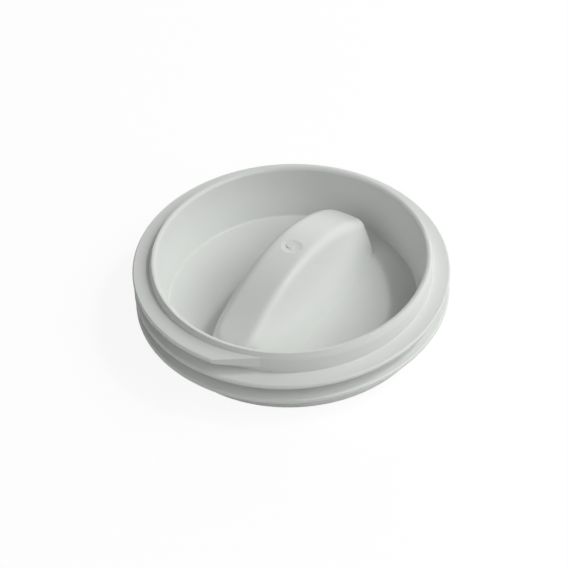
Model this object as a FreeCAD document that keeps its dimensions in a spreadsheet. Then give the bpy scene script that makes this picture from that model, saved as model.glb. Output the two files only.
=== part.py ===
"""Screw-in cap of a washing machine's pump filter, moulded in one piece.

Millimetres, Z up. The cap stands on its foot ring at Z = 0, its axis is the Z axis
and the grip bar across the recess runs along X.
"""
import FreeCAD
import Part
import Sketcher
import math
import os

doc = FreeCAD.newDocument("washer_pump_filter")
sheet = doc.addObject("Spreadsheet::Sheet", "Sizes")

SIZES = (
    # Cup: an outer wall, a recess seen from above and a floor held up by the foot ring.
    ("wall_outer_radius", 33.45),
    ("rim_wall", 1.73),
    ("recess_depth", 14.3),
    ("recess_taper", 1.62),
    ("floor_thickness", 2.0),
    ("foot_height", 1.2),
    ("foot_width", 2.85),
    ("rim_inner_round", 1.0),
    ("rim_top_flat", 0.1),
    ("rim_bevel_height", 1.35),
    ("rim_bevel_round", 2.0),
    ("recess_corner_round", 0.35),
    ("foot_outer_round", 1.0),
    # Grip bar: an arch that stands a little above the rim, hollow from below.
    ("grip_end_gap", 3.0),
    ("grip_end_height", 6.13),
    ("grip_end_draft", 4.0),
    ("grip_end_margin", 2.5),
    ("grip_end_flat", 0.3),
    ("grip_top_width", 10.6),
    ("grip_rise", 1.9),
    ("grip_side_draft", 17.0),
    ("grip_edge_round", 2.8),
    ("grip_wall", 2.0),
    # Gate mark in the middle of the crown: a shallow dish with a pip in it.
    ("gate_offset", 0.8),
    ("gate_dish_radius", 12.0),
    ("gate_dish_depth", 0.32),
    ("gate_pip_radius", 0.9),
    ("gate_pip_height", 0.3),
    ("gate_pip_offset", 0.5),
    # Thread: one coarse right-hand ridge whose two ends run out in a flat bevel.
    ("thread_depth", 4.05),
    ("thread_pitch", 4.65),
    ("thread_turns", 2.25),
    ("thread_crest_width", 1.2),
    ("thread_lower_rise", 1.68),
    ("thread_crest_chamfer", 0.3),
    ("thread_root_sink", 0.9),
    ("thread_rim_gap", 1.1),
    ("thread_start_angle", 201.0),
    ("thread_bevel_angle", 16.4),
    ("thread_bevel_step", 0.2),
    ("thread_bevel_margin", 3.0),
)
for row, (alias, value) in enumerate(SIZES, start=1):
    sheet.set("A%d" % row, alias)
    sheet.set("B%d" % row, str(value))
    sheet.setAlias("B%d" % row, alias)
doc.recompute()

# Levels and radii that several features share, as expressions on the sheet.
FLOOR = "(Sizes.foot_height + Sizes.floor_thickness)"
MID_FLOOR = "(Sizes.foot_height + Sizes.floor_thickness / 2)"
RIM = "(Sizes.foot_height + Sizes.floor_thickness + Sizes.recess_depth)"
CROWN = "(Sizes.foot_height + Sizes.floor_thickness + Sizes.recess_depth + Sizes.grip_rise)"
RIM_RADIUS = "(Sizes.wall_outer_radius - Sizes.rim_wall)"
RIM_EDGE = "(%s + Sizes.rim_inner_round + Sizes.rim_top_flat)" % RIM_RADIUS
FLOOR_RADIUS = "(%s - Sizes.recess_taper)" % RIM_RADIUS
FOOT_RADIUS = "(Sizes.wall_outer_radius - Sizes.foot_width)"
GRIP_HALF = "(%s - Sizes.grip_end_gap)" % FLOOR_RADIUS
GRIP_DROP = "(Sizes.recess_depth + Sizes.grip_rise - Sizes.grip_end_height)"
GRIP_END = "(Sizes.grip_top_width / 2 - Sizes.grip_end_flat)"
GRIP_ARC = "((%s ^ 2 + %s ^ 2) / (2 * %s))" % (GRIP_HALF, GRIP_DROP, GRIP_DROP)
ROOT = "(Sizes.wall_outer_radius - Sizes.thread_root_sink)"
CREST = "(Sizes.wall_outer_radius + Sizes.thread_depth)"
CREST_EDGE = "(%s - Sizes.thread_crest_chamfer)" % CREST
CREST_TOP = "(Sizes.thread_lower_rise + Sizes.thread_crest_width)"
BEVEL_FOOT = "(Sizes.wall_outer_radius + Sizes.thread_bevel_step)"


def number(text):
    """The plain number that an expression on the sheet comes to."""
    return float(sheet.evalExpression(text))


def origin_part(body, role):
    """One of the origin planes or axes of a body."""
    return [item for item in body.Origin.OriginFeatures if item.Role == role][0]


def bind(target, **texts):
    """Ties properties of an object to expressions on the sheet."""
    for path, text in texts.items():
        target.setExpression(path.replace("__", "."), text)


def new_sketch(body, name, role):
    """An empty sketch on one of the body's own origin planes."""
    sketch = body.newObject("Sketcher::SketchObject", name)
    sketch.AttachmentSupport = (origin_part(body, role), [""])
    sketch.MapMode = "FlatFace"
    return sketch


def dimension(sketch, name, text, kind, *places):
    """Adds one named dimension to a sketch and ties it to an expression."""
    index = sketch.addConstraint(Sketcher.Constraint(kind, *places, number(text)))
    sketch.renameConstraint(index, name)
    return name, text


def outline(body, name, role, corners, rounds=()):
    """A closed outline of straight runs; some of its corners can be rounded.

    Each corner is a pair of expressions, across and up, and "0" puts it on an axis.
    """
    sketch = new_sketch(body, name, role)
    spots = [FreeCAD.Vector(number(across), number(up), 0) for across, up in corners]
    count = len(spots)
    for i in range(count):
        sketch.addGeometry(Part.LineSegment(spots[i], spots[(i + 1) % count]), False)
    for i in range(count):
        sketch.addConstraint(Sketcher.Constraint("Coincident", i, 2, (i + 1) % count, 1))
    ties = []
    for i, (across, up) in enumerate(corners):
        if across == "0":
            sketch.addConstraint(Sketcher.Constraint("PointOnObject", i, 1, -2))
        else:
            ties.append(dimension(sketch, "across_%d" % i, across, "DistanceX", -1, 1, i, 1))
        if up == "0":
            sketch.addConstraint(Sketcher.Constraint("PointOnObject", i, 1, -1))
        else:
            ties.append(dimension(sketch, "up_%d" % i, up, "DistanceY", -1, 1, i, 1))
    for i, radius in rounds:
        arc = sketch.GeometryCount
        sketch.fillet(i, 1, number(radius), True, True)
        ties.append(dimension(sketch, "round_%d" % i, radius, "Radius", arc))
    for label, text in ties:
        sketch.setExpression("Constraints." + label, text)
    return sketch


# The cup is turned from its half section.
cap = doc.addObject("PartDesign::Body", "FilterCap")
cup_section = outline(cap, "CupSection", "XZ_Plane", (
    ("0", "Sizes.foot_height"),
    (FOOT_RADIUS, "Sizes.foot_height"),
    (FOOT_RADIUS, "0"),
    ("Sizes.wall_outer_radius", "0"),
    ("Sizes.wall_outer_radius", "%s - Sizes.rim_bevel_height" % RIM),
    (RIM_EDGE, RIM),
    (RIM_RADIUS, RIM),
    (FLOOR_RADIUS, FLOOR),
    ("0", FLOOR),
), (
    (3, "Sizes.foot_outer_round"),
    (4, "Sizes.rim_bevel_round"),
    (6, "Sizes.rim_inner_round"),
    (7, "Sizes.recess_corner_round"),
))
cup_turned = cap.newObject("PartDesign::Revolution", "CupTurned")
cup_turned.Profile = cup_section
cup_turned.ReferenceAxis = (cup_section, ["V_Axis"])
cup_turned.Angle = 360.0
doc.recompute()


def arch_sketch(body, name, half_length, crown, radius, foot):
    """Side view of the bar before its ends are cut: a crown arc on a level base."""
    sketch = new_sketch(body, name, "XZ_Plane")
    half = number(half_length)
    low = number(foot)
    reach = number(radius)
    hub = number(crown) - reach
    lean = math.acos(half / reach)
    ledge = hub + reach * math.sin(lean)
    circle = Part.Circle(FreeCAD.Vector(0, hub, 0), FreeCAD.Vector(0, 0, 1), reach)
    left_foot = FreeCAD.Vector(-half, low, 0)
    right_foot = FreeCAD.Vector(half, low, 0)
    base, right, top, left = sketch.addGeometry([
        Part.LineSegment(left_foot, right_foot),
        Part.LineSegment(right_foot, FreeCAD.Vector(half, ledge, 0)),
        Part.ArcOfCircle(circle, lean, math.pi - lean),
        Part.LineSegment(FreeCAD.Vector(-half, ledge, 0), left_foot),
    ], False)
    sketch.addConstraint([
        Sketcher.Constraint("Coincident", base, 2, right, 1),
        Sketcher.Constraint("Coincident", right, 2, top, 1),
        Sketcher.Constraint("Coincident", top, 2, left, 1),
        Sketcher.Constraint("Coincident", left, 2, base, 1),
        Sketcher.Constraint("Vertical", right),
        Sketcher.Constraint("Vertical", left),
        Sketcher.Constraint("PointOnObject", top, 3, -2),
        Sketcher.Constraint("Symmetric", base, 1, base, 2, -2),
    ])
    ties = (
        dimension(sketch, "half_length", half_length, "DistanceX", -1, 1, base, 2),
        dimension(sketch, "foot", foot, "DistanceY", -1, 1, base, 1),
        dimension(sketch, "hub", "%s - %s" % (radius, crown), "DistanceY", top, 3, -1, 1),
        dimension(sketch, "radius", radius, "Radius", top),
    )
    for label, text in ties:
        sketch.setExpression("Constraints." + label, text)
    return sketch


def cut_away(body, name, corners):
    """Cuts everything inside an outline in the bar's side view, right across the bar."""
    window = outline(body, name + "Window", "XZ_Plane", corners)
    cut = body.newObject("PartDesign::Pocket", name)
    cut.Profile = window
    cut.Type = "ThroughAll"
    cut.SideType = "Symmetric"
    body.Tip = cut
    doc.recompute()
    return cut


def arched_bar(name, half_width, half_length, crown, radius, foot):
    """An arched bar along X: a level strip on top and two sides that spread downwards.

    Each side is the arch pushed along a slope, so the strip keeps its width to the ends.
    The ends are cut off by two leaning planes.
    """
    body = doc.addObject("PartDesign::Body", name)
    long = "(%s + Sizes.grip_end_margin)" % half_length
    strip_arch = arch_sketch(body, name + "StripArch", long, crown, radius, foot)
    strip = body.newObject("PartDesign::Pad", name + "Strip")
    strip.Profile = strip_arch
    strip.SideType = "Symmetric"
    bind(strip, Length="2 * " + half_width)
    doc.recompute()
    side_arch = arch_sketch(body, name + "SideArch", long, crown, radius, foot)
    bind(side_arch, AttachmentOffset__Base__z="-1 * " + half_width)
    side = body.newObject("PartDesign::Pad", name + "Side")
    side.Profile = side_arch
    side.UseCustomVector = True
    side.AlongSketchNormal = False
    side.Direction = FreeCAD.Vector(0, 1, -1)
    bind(side, Direction__y="tan(Sizes.grip_side_draft)",
         Length="%s / cos(Sizes.grip_side_draft)" % crown)
    doc.recompute()
    twin = body.newObject("PartDesign::Mirrored", name + "Twin")
    twin.Originals = [side]
    twin.MirrorPlane = (origin_part(body, "XZ_Plane"), [""])
    body.Tip = twin
    doc.recompute()
    wide = "(2 * %s)" % long
    high = "(2 * %s)" % crown
    cut_away(body, name + "Below", (
        ("-1 * " + wide, "-1 * " + high),
        (wide, "-1 * " + high),
        (wide, foot),
        ("-1 * " + wide, foot),
    ))
    lean = "(%s * tan(Sizes.grip_end_draft))" % high
    for word, sign in (("Right", 1), ("Left", -1)):
        cut_away(body, name + word + "End", (
            ("%d * (%s + %s)" % (sign, half_length, lean), "-1 * " + high),
            ("%d * %s" % (sign, wide), "-1 * " + high),
            ("%d * %s" % (sign, wide), high),
            ("%d * (%s - %s)" % (sign, half_length, lean), high),
        ))
    return body


# How close a point counts as lying on a level, and how many points stand for an edge.
NEAR = 0.01
SAMPLES = 5


def edges_where(shape, test):
    """Names of the edges whose points pass a test."""
    names = []
    for i, edge in enumerate(shape.Edges, start=1):
        if test(edge.discretize(SAMPLES)):
            names.append("Edge%d" % i)
    return names


def round_edges(body, name, pick, radius):
    """Rounds the edges of a body that a function picks from its shape."""
    base = body.Tip
    fillet = body.newObject("PartDesign::Fillet", name)
    fillet.Base = (base, pick(base.Shape))
    bind(fillet, Radius=radius)
    body.Tip = fillet
    doc.recompute()
    return fillet


def just_above_foot(shape):
    """A level a hair above the lowest corner of a bar."""
    return min(corner.Z for corner in shape.Vertexes) + NEAR


def upright_edges(shape):
    """Names of the four corner edges of a bar, which run from its foot up to its top."""
    low = just_above_foot(shape)
    return edges_where(shape, lambda points: min(p.z for p in points) < low < max(p.z for p in points))


def top_edges(shape):
    """Names of the edges round the top of a bar, which stay clear of its foot."""
    low = just_above_foot(shape)
    return edges_where(shape, lambda points: min(p.z for p in points) > low)


grip = arched_bar("Grip", "(Sizes.grip_top_width / 2)", GRIP_HALF, CROWN, GRIP_ARC, MID_FLOOR)
round_edges(grip, "GripCorners", upright_edges, GRIP_END)
round_edges(grip, "GripEdges", top_edges, "Sizes.grip_edge_round")

# The hollow under the bar follows the bar one wall thickness further in.
core = arched_bar(
    "GripHollow",
    "(Sizes.grip_top_width / 2 - Sizes.grip_wall"
    " * (1 / cos(Sizes.grip_side_draft) - tan(Sizes.grip_side_draft)))",
    "(%s - Sizes.grip_wall)" % GRIP_HALF,
    "(%s - Sizes.grip_wall)" % CROWN,
    "(%s - Sizes.grip_wall)" % GRIP_ARC,
    "(Sizes.foot_height / 2)",
)
round_edges(core, "HollowCorners", upright_edges, "%s - Sizes.grip_wall" % GRIP_END)

# The thread is a ridge wound up from its lower end, set into the wall a little.
thread = doc.addObject("PartDesign::Body", "Thread")
bind(
    thread,
    Placement__Rotation__Angle="Sizes.thread_start_angle - 360 * Sizes.thread_turns",
    Placement__Base__z="%s - Sizes.thread_rim_gap - Sizes.thread_turns * Sizes.thread_pitch - %s"
    % (RIM, CREST_TOP),
)
ridge_section = outline(thread, "RidgeSection", "XZ_Plane", (
    (ROOT, "0"),
    ("Sizes.wall_outer_radius", "0"),
    (CREST_EDGE, "Sizes.thread_lower_rise * (1 - Sizes.thread_crest_chamfer / Sizes.thread_depth)"),
    (CREST, "Sizes.thread_lower_rise + Sizes.thread_crest_chamfer"),
    (CREST, "%s - Sizes.thread_crest_chamfer" % CREST_TOP),
    (CREST_EDGE, CREST_TOP),
    (ROOT, CREST_TOP),
))
ridge = thread.newObject("PartDesign::AdditiveHelix", "Ridge")
ridge.Profile = ridge_section
ridge.ReferenceAxis = (origin_part(thread, "Z_Axis"), [""])
ridge.Mode = "pitch-turns-angle"
ridge.LeftHanded = False
bind(ridge, Pitch="Sizes.thread_pitch", Turns="Sizes.thread_turns")
thread.Tip = ridge
doc.recompute()


# Share of its length by which a cutting edge runs past both ends of a bevel.
OVERRUN = 0.1


def bevel(name, side, turn, level):
    """Cuts one end of the ridge flat, from the wall out to the crest."""
    reach = "(%s * cos(Sizes.thread_bevel_angle) - %s)" % (CREST, BEVEL_FOOT)
    run = "(%s * sin(Sizes.thread_bevel_angle))" % CREST
    wedge = outline(thread, name + "Wedge", "XY_Plane", (
        ("%s - %s * %s" % (BEVEL_FOOT, OVERRUN, reach), "%d * %s * %s" % (-side, OVERRUN, run)),
        ("%s + (1 + %s) * %s" % (BEVEL_FOOT, OVERRUN, reach),
         "%d * (1 + %s) * %s" % (side, OVERRUN, run)),
        ("%s + Sizes.thread_bevel_margin" % CREST, "%d * %s * %s" % (-side, OVERRUN, run)),
    ))
    bind(wedge, AttachmentOffset__Rotation__Angle=turn, AttachmentOffset__Base__z=level)
    cut = thread.newObject("PartDesign::Pocket", name)
    cut.Profile = wedge
    cut.Reversed = True
    bind(cut, Length="Sizes.thread_pitch")
    thread.Tip = cut
    doc.recompute()


GAP = "(Sizes.thread_pitch - %s) / 2" % CREST_TOP
bevel("LowerBevel", 1, "0", "-1 * " + GAP)
bevel("UpperBevel", -1, "360 * Sizes.thread_turns",
      "Sizes.thread_turns * Sizes.thread_pitch - " + GAP)


def combine(name, kind, tools):
    """Joins other bodies to the cap, or cuts them out of it."""
    joint = cap.newObject("PartDesign::Boolean", name)
    joint.Type = kind
    joint.setObjects(tools)
    cap.Tip = joint
    doc.recompute()


combine("WithGrip", "Fuse", [grip])
combine("WithHollow", "Cut", [core])
combine("WithThread", "Fuse", [thread])

# The gate mark is sunk in the crown, so the pip stays below the bar's top.
dish = cap.newObject("PartDesign::SubtractiveSphere", "GateDish")
bind(dish, Radius="Sizes.gate_dish_radius", Placement__Base__x="Sizes.gate_offset",
     Placement__Base__z="%s + Sizes.gate_dish_radius - Sizes.gate_dish_depth" % CROWN)
cap.Tip = dish
doc.recompute()
pip = cap.newObject("PartDesign::AdditiveCylinder", "GatePip")
bind(
    pip,
    Radius="Sizes.gate_pip_radius",
    Height="Sizes.grip_wall / 2 - Sizes.gate_dish_depth + Sizes.gate_pip_height",
    Placement__Base__x="Sizes.gate_offset",
    Placement__Base__y="Sizes.gate_pip_offset",
    Placement__Base__z="%s - Sizes.grip_wall / 2" % CROWN,
)
cap.Tip = pip
cap.Label = "filter_cap"
doc.recompute()

for item in doc.Objects:
    faults = [word for word in item.State if word in ("Invalid", "Error")]
    if faults:
        raise RuntimeError("%s is %s" % (item.Name, faults))
    shape = getattr(item, "Shape", None)
    if shape is not None and (shape.isNull() or not shape.isValid()):
        raise RuntimeError("%s has no valid shape" % item.Name)
if len(cap.Shape.Solids) != 1:
    raise RuntimeError("the cap is not one solid")

os.makedirs("parts", exist_ok=True)
cap.Shape.exportStep("parts/%s.step" % cap.Label)
print("filter_cap: %.0f cubic millimetres" % cap.Shape.Volume)
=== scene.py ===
# %% [markdown]
# # Screw-in cap of a washer's pump filter
# The cap is a single moulding in off-white plastic: a shallow cup with a coarse thread round it
# and an arched bar to turn it by. All of its shape is in the solid model, which is loaded first
# as a fixed frame. What is left to do here is to give the plastic its finish, and to set up the
# ground, the light and the camera.

# %% Load the solid model
import math
import bpy
from mathutils import Matrix, Vector


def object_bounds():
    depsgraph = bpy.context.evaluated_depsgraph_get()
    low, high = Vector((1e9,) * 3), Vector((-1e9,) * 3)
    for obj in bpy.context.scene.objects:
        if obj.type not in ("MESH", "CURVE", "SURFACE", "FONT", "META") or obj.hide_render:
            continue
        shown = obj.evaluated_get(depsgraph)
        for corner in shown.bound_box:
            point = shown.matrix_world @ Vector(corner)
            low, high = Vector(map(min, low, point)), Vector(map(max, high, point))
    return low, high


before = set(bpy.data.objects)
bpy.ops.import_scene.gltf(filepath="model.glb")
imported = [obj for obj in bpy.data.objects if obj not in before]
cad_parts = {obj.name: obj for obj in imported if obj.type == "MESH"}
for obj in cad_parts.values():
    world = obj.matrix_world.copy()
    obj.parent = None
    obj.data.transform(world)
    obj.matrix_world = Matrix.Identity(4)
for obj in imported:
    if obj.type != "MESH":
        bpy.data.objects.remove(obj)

cad_low, cad_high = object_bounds()
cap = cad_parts["filter_cap"]
print("cap of", len(cap.data.polygons), "faces, box", list(cad_low), list(cad_high))

# %% [markdown]
# ## Shader maths as plain expressions
# A finish is a small formula: "a base colour with faint clouds in it, under a fine grain". Wiring
# that by hand takes a line for every node and every link. Here a small class wraps one socket, so
# that + and * between sockets and numbers add the Math nodes themselves, and one method, `node`,
# adds any other kind of node. It keeps each recipe as short as its description. A Math node turns
# a colour grey, so two colours are mixed by a Mix node, and two shaders by a Mix Shader.


# %% A wrapper for sockets
class Wire:
    """One output socket of a node tree, with arithmetic."""

    def __init__(self, tree, socket):
        self.tree = tree
        self.socket = socket

    def node(self, kind, settings=None, inputs=None, output=0):
        """Adds a node, sets it up, feeds its sockets and returns one of its outputs."""
        made = self.tree.nodes.new(kind)
        for name, value in (settings or {}).items():
            setattr(made, name, value)
        for name, value in (inputs or {}).items():
            if isinstance(value, Wire):
                self.tree.links.new(value.socket, made.inputs[name])
            else:
                made.inputs[name].default_value = value
        return Wire(self.tree, made.outputs[output]) if made.outputs else None

    def maths(self, operation, *values):
        """A Math node on sockets and numbers."""
        return self.node("ShaderNodeMath", {"operation": operation}, dict(enumerate(values)))

    def __add__(self, other):
        return self.maths("ADD", self, other)

    def __radd__(self, other):
        return self.maths("ADD", other, self)

    def __mul__(self, other):
        return self.maths("MULTIPLY", self, other)

    def __rmul__(self, other):
        return self.maths("MULTIPLY", other, self)

    def mix(self, low, high):
        """A colour between two others, with this value as the factor."""
        factor, first, second, result = 0, 6, 7, 2
        inputs = {factor: self, first: low, second: high}
        return self.node("ShaderNodeMix", {"data_type": "RGBA"}, inputs, result)

    def blend(self, low, high):
        """A shader between two others, with this value as the factor."""
        factor, first, second = 0, 1, 2
        return self.node("ShaderNodeMixShader", None, {factor: self, first: low, second: high})


def new_finish(name):
    """An empty material; returns it with a wire to its object coordinates."""
    material = bpy.data.materials.new(name)
    material.use_nodes = True
    material.node_tree.nodes.clear()
    places = material.node_tree.nodes.new("ShaderNodeTexCoord")
    return material, Wire(material.node_tree, places.outputs["Object"])


print("wrapper ready")

# %% [markdown]
# ## The moulded plastic
# Caps like this are injection moulded in a hard, opaque off-white plastic. It is not pure white: it
# has a slight green-grey cast, with faint cloudy patches, because the melt does not mix evenly. The
# skin copies the fine spark-eroded grain of the mould, so it is satin, not glossy, and its sheen is
# a little uneven. All three are noises of different sizes, taken in object coordinates, which need
# no unwrapping. The grain is far too fine to model, so a Bump node only tilts the surface for it.

# %% Finish of the cap
PLASTIC_PALE = (0.835, 0.854, 0.830, 1.0)
PLASTIC_DEEP = (0.780, 0.798, 0.775, 1.0)
PLASTIC_INDEX = 1.5
CLOUD_NOISE = {"Scale": 55.0, "Detail": 3.0, "Roughness": 0.55}
GRAIN_NOISE = {"Scale": 2600.0, "Detail": 2.0, "Roughness": 0.6}
SHEEN_NOISE = {"Scale": 240.0, "Detail": 2.0, "Roughness": 0.5}
CLOUD_SHARE = 0.8
GRAIN_SHARE = 0.2
SATIN = 0.36
SATIN_SPREAD = 0.12
GRAIN_RELIEF = {"Strength": 0.10, "Distance": 0.00012}

plastic, places = new_finish("moulded_off_white")
clouds = places.node("ShaderNodeTexNoise", None, {"Vector": places, **CLOUD_NOISE})
grain = places.node("ShaderNodeTexNoise", None, {"Vector": places, **GRAIN_NOISE})
sheen = places.node("ShaderNodeTexNoise", None, {"Vector": places, **SHEEN_NOISE})
tint = (CLOUD_SHARE * clouds + GRAIN_SHARE * grain).mix(PLASTIC_DEEP, PLASTIC_PALE)
satin = SATIN + SATIN_SPREAD * sheen
skin = grain.node("ShaderNodeBump", None, {"Height": grain, **GRAIN_RELIEF})
moulded = skin.node("ShaderNodeBsdfPrincipled", None, {
    "Base Color": tint, "Roughness": satin, "Normal": skin, "IOR": PLASTIC_INDEX,
})
moulded.node("ShaderNodeOutputMaterial", None, {"Surface": moulded})
cap.data.materials.clear()
cap.data.materials.append(plastic)
print("finish", plastic.name, "with", len(plastic.node_tree.nodes), "nodes")

# %% [markdown]
# ## The ground
# The cap lies on a white ground that has no edge in the picture. A large plane does that, if what
# the camera sees of it is mostly a steady white, with a share of real shading left in, so that the
# cap still drops a soft shadow. Other rays see the plane's own pale colour, so that it lights the
# cap from below as a white table does. The plane lies a hair below the foot of the cap, because two
# faces at the very same height flicker against each other. Lengths are in metres throughout.

# %% White table
GROUND_SIZE = 4.0
GROUND_GAP = 0.00005
GROUND_PALE = (0.88, 0.88, 0.88, 1.0)
GROUND_DEEP = (0.86, 0.86, 0.86, 1.0)
GROUND_NOISE = {"Scale": 6.0, "Detail": 2.0}
WHITE = (1.0, 1.0, 1.0, 1.0)
GROUND_WHITE = 1.06
STEADY_SHARE = 0.84

bpy.ops.mesh.primitive_plane_add(size=GROUND_SIZE, location=(0.0, 0.0, cad_low[2] - GROUND_GAP))
ground = bpy.context.object
ground.name = "white_table"
paper, places = new_finish("white_paper")
patches = places.node("ShaderNodeTexNoise", None, {"Vector": places, **GROUND_NOISE})
paper_tint = patches.mix(GROUND_DEEP, GROUND_PALE)
shaded = patches.node("ShaderNodeBsdfDiffuse", None, {"Color": paper_tint})
steady = patches.node("ShaderNodeEmission", None, {"Color": WHITE, "Strength": GROUND_WHITE})
seen = patches.node("ShaderNodeLightPath", None, None, "Is Camera Ray")
table_top = (STEADY_SHARE * seen).blend(shaded, steady)
table_top.node("ShaderNodeOutputMaterial", None, {"Surface": table_top})
ground.data.materials.append(paper)
print("ground", GROUND_SIZE, "m wide")

# %% [markdown]
# ## The light
# Most of the light comes from the right. The rim throws a shade with a visible edge on the floor of
# the recess there, so one lamp is small and stands high. The others are large soft screens all
# round: strong ones on the right side, which light the right flank of the bar, and weaker ones on the
# left and behind, so that the left side of the cap stays darker but never goes black. Each lamp is
# a row of a table: its angle round the cap, counted from the right towards the viewer, its height
# above the horizon, its width and its level. The level is the brightness of a white sheet that
# faces the lamp, and the lamp's power follows from it: a sheet at a distance d gets
# power / (pi * d)^2.

# %% Lamps
VIEW_TURN = math.radians(35.0)
LAMP_DISTANCE = 0.80
LAMPS = (
    ("key_lamp", 0.0, 57.0, 0.08, 0.16),
    ("right_screen", 0.0, 40.0, 0.70, 0.32),
    ("near_right_screen", 45.0, 42.0, 0.70, 0.34),
    ("near_left_screen", 130.0, 38.0, 0.70, 0.09),
    ("left_screen", 180.0, 25.0, 0.70, 0.14),
    ("back_screen", -90.0, 12.0, 0.70, 0.26),
    ("far_right_screen", -45.0, 28.0, 0.70, 0.23),
)


def from_photo(right, away, up):
    """A direction given as seen in the picture, turned into the part's own frame."""
    turned = Matrix.Rotation(VIEW_TURN - math.pi / 2, 3, "Z")
    return turned @ Vector((right, away, up))


def add_lamp(name, side, height, width, level):
    """A round lamp that looks at the cap from one direction."""
    side = math.radians(side)
    height = math.radians(height)
    lamp_data = bpy.data.lights.new(name, "AREA")
    lamp_data.shape = "DISK"
    lamp_data.size = width
    lamp_data.energy = level * (math.pi * LAMP_DISTANCE) ** 2
    lamp = bpy.data.objects.new(name, lamp_data)
    bpy.context.collection.objects.link(lamp)
    reach = math.cos(height)
    towards = from_photo(reach * math.cos(side), -reach * math.sin(side), math.sin(height))
    lamp.location = towards * LAMP_DISTANCE
    lamp.rotation_euler = towards.to_track_quat("Z", "Y").to_euler()
    return lamp


for row in LAMPS:
    lamp = add_lamp(*row)
    print(lamp.name, "at", [round(c, 3) for c in lamp.location], "power", round(lamp.data.energy, 2))

# %% [markdown]
# ## The room
# Above the table the picture is white as well. A bright world would do that, but it would also light
# the cap from everywhere and wash out its shading. So the room is white to the camera and dark to
# all other rays, and the lamps alone decide the shading.

# %% White room
DARK_ROOM = 0.0
BRIGHT_ROOM = 1.0

room = bpy.data.worlds.new("white_room")
bpy.context.scene.world = room
room.use_nodes = True
room.node_tree.nodes.clear()
path = room.node_tree.nodes.new("ShaderNodeLightPath")
seen = Wire(room.node_tree, path.outputs["Is Camera Ray"])
dark = seen.node("ShaderNodeBackground", None, {"Color": WHITE, "Strength": DARK_ROOM})
bright = seen.node("ShaderNodeBackground", None, {"Color": WHITE, "Strength": BRIGHT_ROOM})
around = seen.blend(dark, bright)
around.node("ShaderNodeOutputWorld", None, {"Surface": around})
print("room", room.name, "with", len(room.node_tree.nodes), "nodes")

# %% [markdown]
# ## The camera
# The rim's ellipse in the photo gives the viewing angle, and the way the near side of the rim is
# larger than the far side gives the distance. The picture is also turned by a few degrees, and the
# cap is not in its middle, so the camera is rolled a little and its lens is shifted.

# %% Camera
PICTURE = 568.0
RIM_LEVEL = 0.0175
CAMERA_TILT = math.radians(42.27)
CAMERA_ROLL = math.radians(-2.80)
CAMERA_DISTANCE = 0.4267
SENSOR = 36.0
FOCAL_PIXELS = 1814.0
AIM_ACROSS = 290.71
AIM_DOWN = 253.8

eye = from_photo(0.0, -math.cos(CAMERA_TILT), math.sin(CAMERA_TILT))
aim = Vector((0.0, 0.0, RIM_LEVEL))
camera_data = bpy.data.cameras.new("camera")
camera_data.sensor_width = SENSOR
camera_data.lens = FOCAL_PIXELS / PICTURE * SENSOR
camera_data.shift_x = -(AIM_ACROSS - PICTURE / 2) / PICTURE
camera_data.shift_y = (AIM_DOWN - PICTURE / 2) / PICTURE
camera = bpy.data.objects.new("camera", camera_data)
bpy.context.collection.objects.link(camera)
level_view = eye.to_track_quat("Z", "Y").to_matrix()
camera.matrix_world = Matrix.Translation(aim + eye * CAMERA_DISTANCE) @ (
    level_view @ Matrix.Rotation(CAMERA_ROLL, 3, "Z")
).to_4x4()
bpy.context.scene.camera = camera
bpy.context.scene.view_settings.view_transform = "Standard"
print("camera at", [round(c, 3) for c in camera.location], "lens", round(camera_data.lens, 1))
